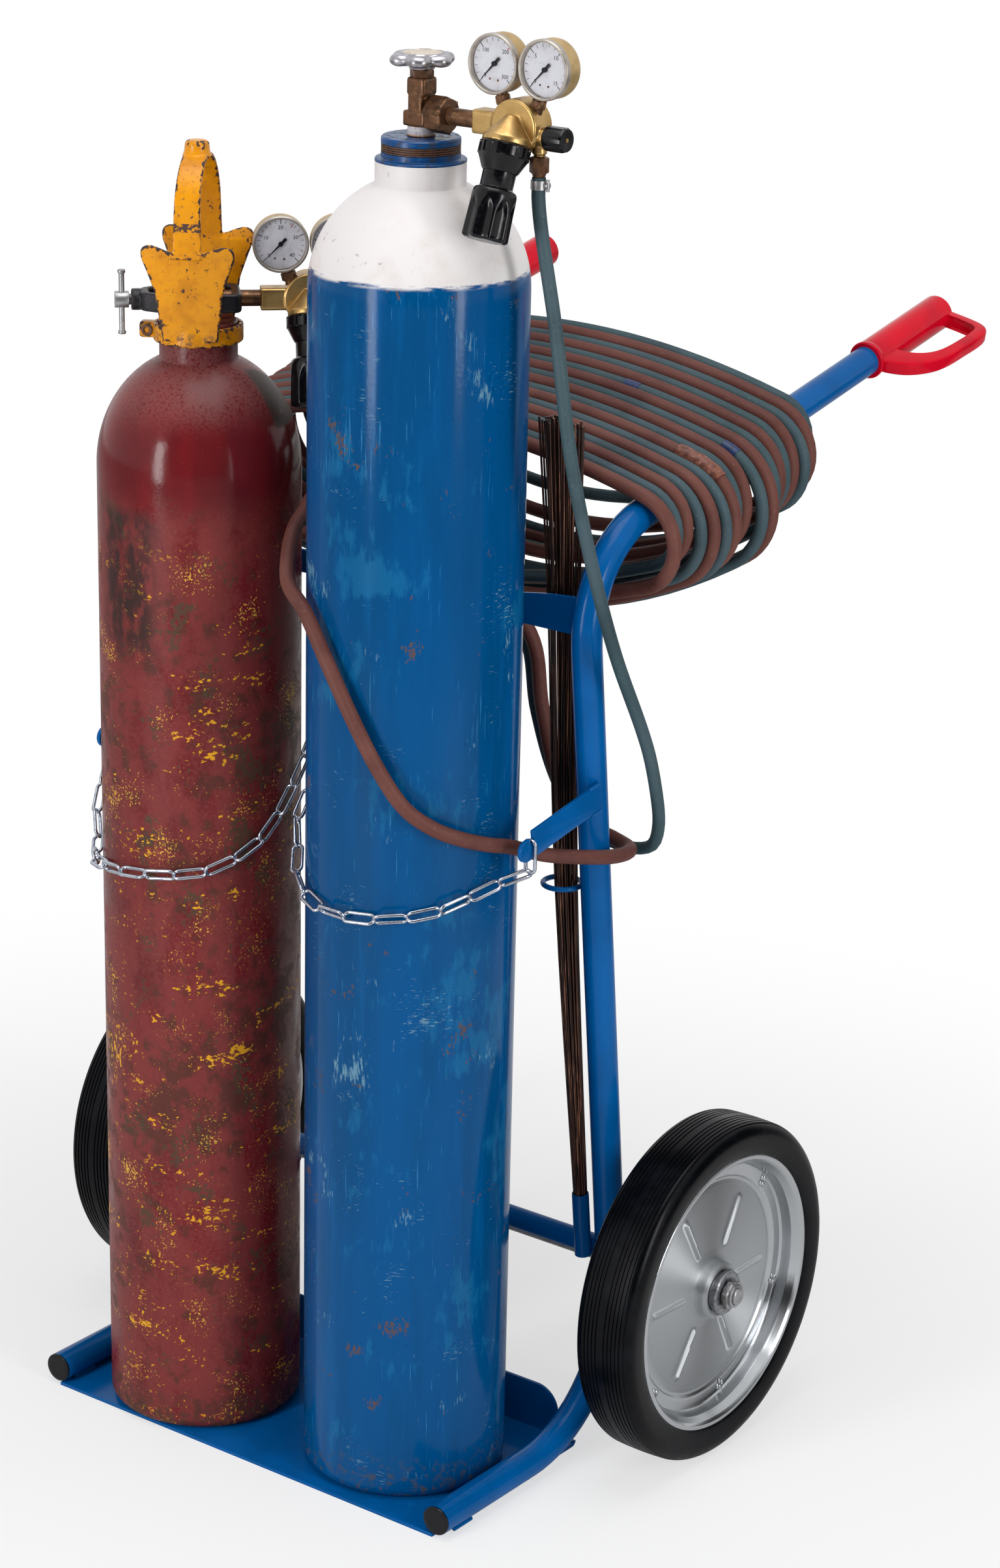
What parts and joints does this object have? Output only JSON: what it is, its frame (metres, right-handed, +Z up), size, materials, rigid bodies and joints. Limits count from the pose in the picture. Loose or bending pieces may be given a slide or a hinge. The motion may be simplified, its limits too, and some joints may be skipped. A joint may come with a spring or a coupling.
{
  "type": "gas cylinder cart",
  "caption": "Two-wheeled workshop cart with an oxygen and an acetylene cylinder held by chains, with regulators, hoses wound over the handles and a rod holder.",
  "frame": {"origin": "middle of the base plate's underside, on the floor", "axes": "+Z up, +X to the right of someone who faces the cylinders, +Y back towards the handles"},
  "size_m": [0.8564, 0.9533, 1.6104],
  "materials": {
    "blue_paint": "glossy powder coat",
    "red_plastic": "glossy",
    "black_plastic": "satin",
    "tyre": "matt",
    "zinc": "bright zinc plated",
    "steel": "satin",
    "black_iron": "black, satin",
    "rods": "dull, coppery brown",
    "oxygen_paint": "worn gloss",
    "maroon_paint": "worn satin",
    "yellow_paint": "chipped gloss",
    "brass": "bright",
    "brown_brass": "tarnished",
    "aluminium": "polished",
    "red_rubber": "ribbed, dusty",
    "green_rubber": "ribbed, dusty"
  },
  "bodies": {
    "cart": {"left_frame_tube": "blue_paint", "left_chain_arm": "blue_paint", "left_axle_bracket": "blue_paint", "left_foot_cap": "black_plastic", "left_grip": "red_plastic", "left_axle_nut": "steel", "left_chain": "zinc", "right_frame_tube": "blue_paint", "right_chain_arm": "blue_paint", "right_axle_bracket": "blue_paint", "right_foot_cap": "black_plastic", "right_grip": "red_plastic", "right_axle_nut": "steel", "right_chain": "zinc", "base_plate": "blue_paint", "lower_crossbar": "blue_paint", "upper_cross_plate": "blue_paint", "rod_ring": "blue_paint", "rod_quiver": "blue_paint", "axle": "steel", "welding_rods": "rods", "oxygen_cylinder": "oxygen_paint", "oxygen_valve_body": "brown_brass", "oxygen_union_nut": "brown_brass", "acetylene_cylinder": "maroon_paint", "acetylene_guard": "yellow_paint", "acetylene_valve_body": "brown_brass", "acetylene_yoke": "black_iron", "oxygen_regulator_body": "brass", "oxygen_bonnet": "black_plastic", "oxygen_hose_nut": "brown_brass", "oxygen_cylinder_gauge": "brass", "oxygen_working_gauge": "brass", "acetylene_regulator_body": "brass", "acetylene_bonnet": "black_plastic", "acetylene_hose_nut": "brown_brass", "acetylene_cylinder_gauge": "brass", "acetylene_working_gauge": "brass", "red_hose_free": "red_rubber", "red_hose_coil": "red_rubber", "red_hose_fitting": "brass", "green_hose_free": "green_rubber", "green_hose_coil": "green_rubber", "green_hose_fitting": "brass"},
    "left_wheel": {"left_tyre": "tyre", "left_rim": "zinc", "left_wheel_hub": "zinc"},
    "right_wheel": {"right_tyre": "tyre", "right_rim": "zinc", "right_wheel_hub": "zinc"},
    "oxygen_handwheel": {"oxygen_handwheel": "aluminium"},
    "oxygen_adjusting_knob": {"oxygen_adjusting_knob": "black_plastic"},
    "acetylene_adjusting_knob": {"acetylene_adjusting_knob": "black_plastic"},
    "oxygen_outlet_knob": {"oxygen_outlet_knob": "black_plastic"},
    "yoke_screw": {"yoke_screw": "steel"},
    "yoke_t_bar": {"yoke_t_bar": "steel"},
    "oxygen_cylinder_needle": {"oxygen_cylinder_needle": "black_plastic"},
    "oxygen_working_needle": {"oxygen_working_needle": "black_plastic"},
    "acetylene_cylinder_needle": {"acetylene_cylinder_needle": "black_plastic"},
    "acetylene_working_needle": {"acetylene_working_needle": "black_plastic"}
  },
  "joints": [
    {"name": "left_wheel_spin", "type": "hinge", "parent": "cart", "child": "left_wheel", "pos_m": [-0.3772, 0.23103, 0.2], "axis": [1, 0, 0], "continuous": true},
    {"name": "right_wheel_spin", "type": "hinge", "parent": "cart", "child": "right_wheel", "pos_m": [0.3772, 0.23103, 0.2], "axis": [1, 0, 0], "continuous": true},
    {"name": "oxygen_handwheel_turn", "type": "hinge", "parent": "cart", "child": "oxygen_handwheel", "pos_m": [0.1385, -0.0085, 1.56577], "axis": [0, 0, 1], "range_deg": [0, 720]},
    {"name": "oxygen_adjusting_knob_turn", "type": "hinge", "parent": "cart", "child": "oxygen_adjusting_knob", "pos_m": [0.262, -0.0262, 1.52265], "axis": [0, -0.342, -0.9397], "range_deg": [0, 1440]},
    {"name": "acetylene_adjusting_knob_turn", "type": "hinge", "parent": "cart", "child": "acetylene_adjusting_knob", "pos_m": [-0.04112, 0.03574, 1.29987], "axis": [0.2376, -0.246, -0.9397], "range_deg": [0, 1440]},
    {"name": "oxygen_outlet_knob_turn", "type": "hinge", "parent": "cart", "child": "oxygen_outlet_knob", "pos_m": [0.2945, -0.0085, 1.51415], "axis": [1, 0, 0], "range_deg": [0, 540]},
    {"name": "oxygen_cylinder_needle_turn", "type": "hinge", "parent": "cart", "child": "oxygen_cylinder_needle", "pos_m": [0.2314, -0.0085, 1.58039], "axis": [0, 1, 0], "range_deg": [0, 270], "stiffness_Nm_per_rad": 0.0005},
    {"name": "oxygen_working_needle_turn", "type": "hinge", "parent": "cart", "child": "oxygen_working_needle", "pos_m": [0.2926, -0.0085, 1.58039], "axis": [0, 1, 0], "range_deg": [0, 270], "stiffness_Nm_per_rad": 0.0005},
    {"name": "acetylene_cylinder_needle_turn", "type": "hinge", "parent": "cart", "child": "acetylene_cylinder_needle", "pos_m": [-0.07543, 0.02721, 1.35762], "axis": [-0.6947, 0.7193, 0], "range_deg": [0, 270], "stiffness_Nm_per_rad": 0.0005},
    {"name": "acetylene_working_needle_turn", "type": "hinge", "parent": "cart", "child": "acetylene_working_needle", "pos_m": [-0.03141, 0.06973, 1.35762], "axis": [-0.6947, 0.7193, 0], "range_deg": [0, 270], "stiffness_Nm_per_rad": 0.0005},
    {"name": "yoke_screw_turn", "type": "hinge", "parent": "cart", "child": "yoke_screw", "pos_m": [-0.19657, -0.08977, 1.29987], "axis": [0.7193, 0.6947, 0], "continuous": true},
    {"name": "yoke_t_bar_slide", "type": "slide", "parent": "yoke_screw", "child": "yoke_t_bar", "axis": [0, 0, 1], "range_m": [-0.0192, 0.0242]}
  ]
}
